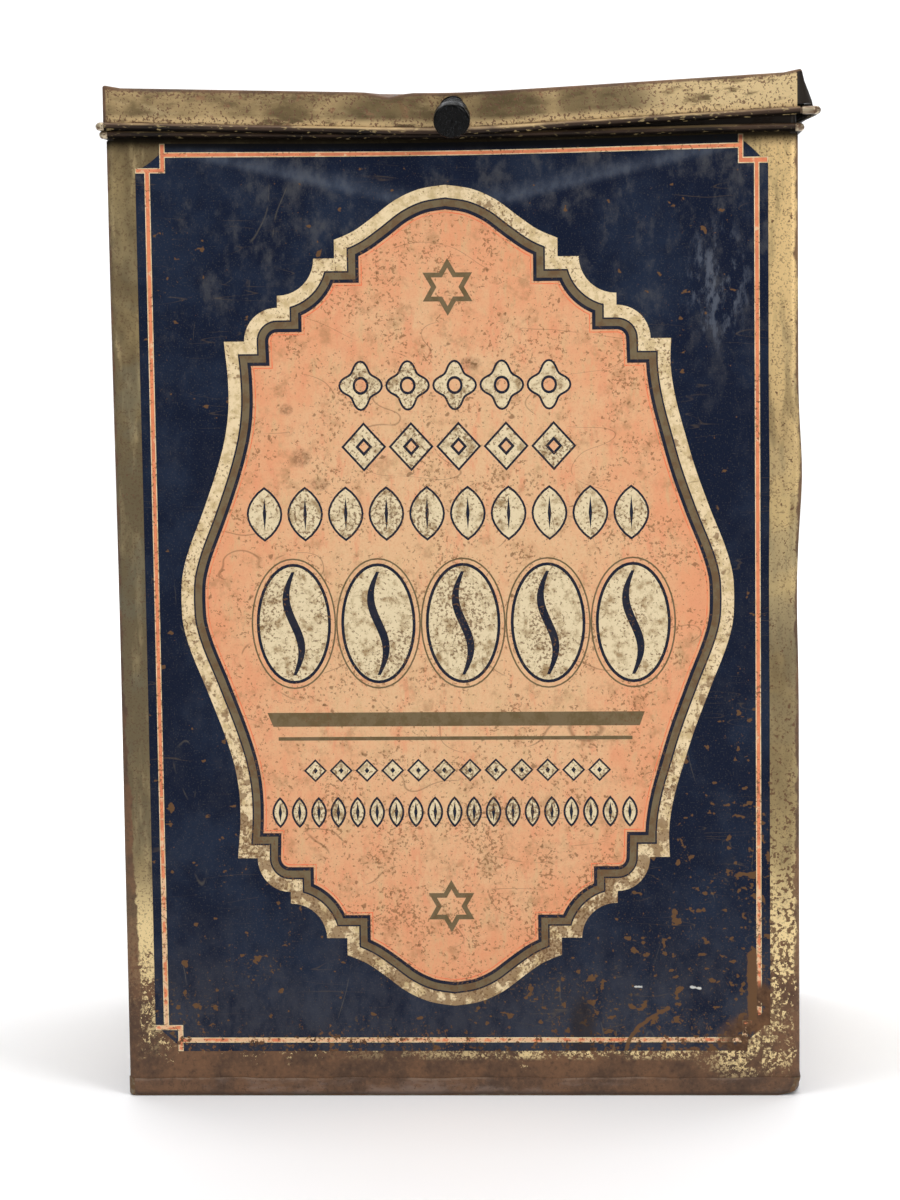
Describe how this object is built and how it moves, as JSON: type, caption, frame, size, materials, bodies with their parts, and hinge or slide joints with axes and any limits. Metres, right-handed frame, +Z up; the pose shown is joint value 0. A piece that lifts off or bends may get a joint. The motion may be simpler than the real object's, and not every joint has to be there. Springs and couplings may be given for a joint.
{
  "type": "coffee tin",
  "caption": "Tall rectangular tinplate bin with wired edges, a hinged cap lid with a small turned knob, and a bordered front panel with a shaped cartouche.",
  "frame": {"origin": "centre of the flat base of the bottom pan", "axes": "+Z up along the tin's height, the front with the knob faces -Y, the hinge is at +Y"},
  "size_m": [0.351, 0.3039, 0.5046],
  "materials": {
    "printed_tin": "printed and varnished tinplate, scuffed and rusty towards the foot",
    "gold_tin": "gold lacquered tinplate, spotted with rust",
    "bare_tin": "dull bare tinplate",
    "wire": "tarnished tinned iron wire",
    "solder": "dull grey solder",
    "iron": "dull tinned iron",
    "black_wood": "turned hardwood, stained black, satin"
  },
  "bodies": {
    "bin": {"front_sheet": "printed_tin", "back_sheet": "gold_tin", "left_sheet": "gold_tin", "right_sheet": "gold_tin", "bottom_pan": "gold_tin", "neck_front": "bare_tin", "neck_back": "bare_tin", "neck_splices": "bare_tin", "body_rim_wire": "wire", "body_rim_solder": "solder", "hinge_strap_left": "iron", "hinge_strap_right": "iron", "hinge_rivets": "iron"},
    "lid": {"lid_sheet": "gold_tin", "lid_corner_tabs": "bare_tin", "lid_rim_wire": "wire", "lid_rim_solder": "solder", "knob": "black_wood", "knob_bolt": "iron", "knob_washer": "iron"}
  },
  "joints": [
    {"name": "lid_hinge", "type": "hinge", "parent": "bin", "child": "lid", "pos_m": [0, 0.13855, 0.4846], "axis": [-1, 0, 0], "range_deg": [0, 180]}
  ]
}
